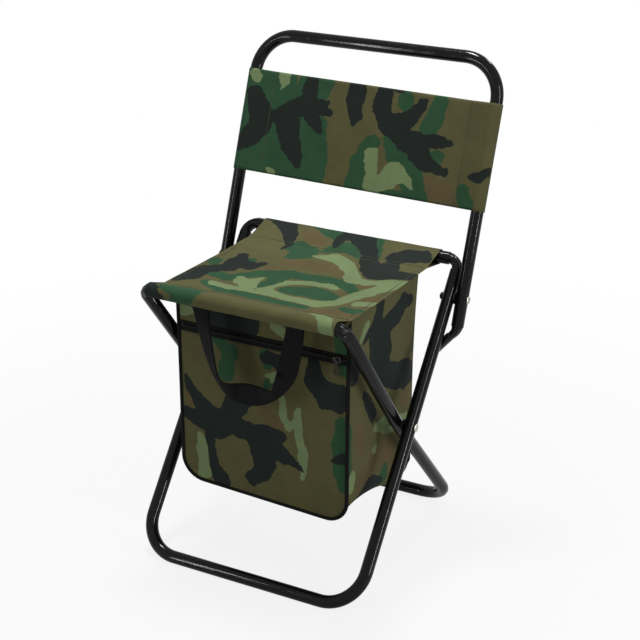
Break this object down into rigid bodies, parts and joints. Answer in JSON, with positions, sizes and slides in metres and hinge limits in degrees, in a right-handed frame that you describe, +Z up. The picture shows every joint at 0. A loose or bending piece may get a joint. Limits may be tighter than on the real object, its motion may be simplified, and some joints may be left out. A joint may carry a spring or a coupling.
{
  "type": "folding cooler stool",
  "caption": "Folding stool with a cloth backrest: scissor frames of bent black tube, woodland camouflage seat and an insulated zip bag hung under it.",
  "frame": {"origin": "centre of the bounding box's bottom, on the floor midway between the front seat bar's hem and the backrest's top bar", "axes": "+X across the width, to the sitter's left; +Y to the rear, where the backrest leans; +Z up"},
  "size_m": [0.3652, 0.3593, 0.6123],
  "materials": {
    "black_paint": "gloss black powder coat on steel tube",
    "nickel": "nickel plated steel",
    "dark_steel": "black plated metal",
    "black_nylon": "moulded nylon",
    "camo_cloth": "printed plain-weave polyester cloth, woodland camouflage",
    "black_webbing": "woven black polyester",
    "foil_liner": "foil faced foam sheet"
  },
  "bodies": {
    "outer_frame": {"outer_leg_frame": "black_paint", "pivot_rivet_right": "nickel", "pivot_rivet_left": "nickel", "pivot_washer_right": "black_nylon", "pivot_washer_left": "black_nylon", "backrest_bolt_right": "nickel", "backrest_bolt_left": "nickel", "backrest_washer_right": "black_nylon", "backrest_washer_left": "black_nylon", "backrest_nut_right": "dark_steel", "backrest_nut_left": "dark_steel", "seat_panel": "camo_cloth", "seat_rear_hem": "camo_cloth", "bag_front_lower": "camo_cloth", "bag_front_upper": "camo_cloth", "bag_gusset": "camo_cloth", "bag_back": "camo_cloth", "piping_front": "black_webbing", "piping_rear": "black_webbing", "liner_front": "foil_liner", "liner_gusset": "foil_liner", "liner_back": "foil_liner", "zip_tape_upper": "black_webbing", "zip_tape_lower": "black_webbing", "zip_coil": "black_nylon"},
    "inner_frame": {"inner_leg_frame": "black_paint", "seat_front_hem": "camo_cloth"},
    "backrest": {"backrest_frame": "black_paint", "backrest_band": "camo_cloth", "hook_plug_right": "black_nylon", "hook_plug_left": "black_nylon"},
    "carry_handle": {"carry_handle": "black_webbing"},
    "zip_slider": {"zip_slider": "dark_steel"},
    "zip_pull": {"zip_pull": "dark_steel"}
  },
  "joints": [
    {"name": "frame_fold", "type": "hinge", "parent": "outer_frame", "child": "inner_frame", "pos_m": [0, -0.03032, 0.19184], "axis": [1, 0, 0], "range_deg": [-68, 0]},
    {"name": "backrest_fold", "type": "hinge", "parent": "outer_frame", "child": "backrest", "pos_m": [0, 0.07214, 0.3265], "axis": [1, 0, 0], "range_deg": [0, 80]},
    {"name": "handle_swing", "type": "hinge", "parent": "outer_frame", "child": "carry_handle", "pos_m": [0, -0.15671, 0.3578], "axis": [1, 0, 0], "range_deg": [-60, 10]},
    {"name": "zip_slide", "type": "slide", "parent": "outer_frame", "child": "zip_slider", "axis": [1, 0, 0], "range_m": [-0.2, 0]},
    {"name": "pull_swing", "type": "hinge", "parent": "zip_slider", "child": "zip_pull", "pos_m": [0.10303, -0.12834, 0.3065], "axis": [0, 1, 0], "range_deg": [-80, 80]}
  ]
}
